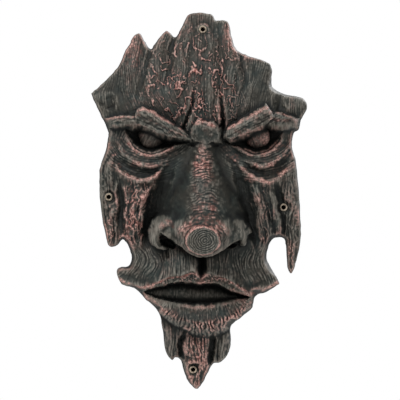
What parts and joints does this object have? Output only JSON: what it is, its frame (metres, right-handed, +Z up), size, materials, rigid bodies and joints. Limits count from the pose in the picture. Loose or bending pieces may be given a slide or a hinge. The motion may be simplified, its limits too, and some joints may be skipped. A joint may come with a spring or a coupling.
{
  "type": "tree face sculpture",
  "caption": "Hollow-backed cast resin mask of a scowling bark face with a sawn-branch nose, screwed to a trunk or wall through cast-in eyelets.",
  "frame": {"origin": "on the flat back, 12 mm under the top screw hole, where the casting lies on the trunk or wall that holds it", "axes": "+Z up along the face, +Y into the wall, +X to the viewer's right; the face looks along -Y"},
  "size_m": [0.2147, 0.096, 0.375],
  "materials": {
    "tree_face": "cast resin, painted dark bark brown and dry-brushed with copper on the ridges"
  },
  "bodies": {
    "root": {"tree_face": "tree_face"}
  },
  "joints": []
}
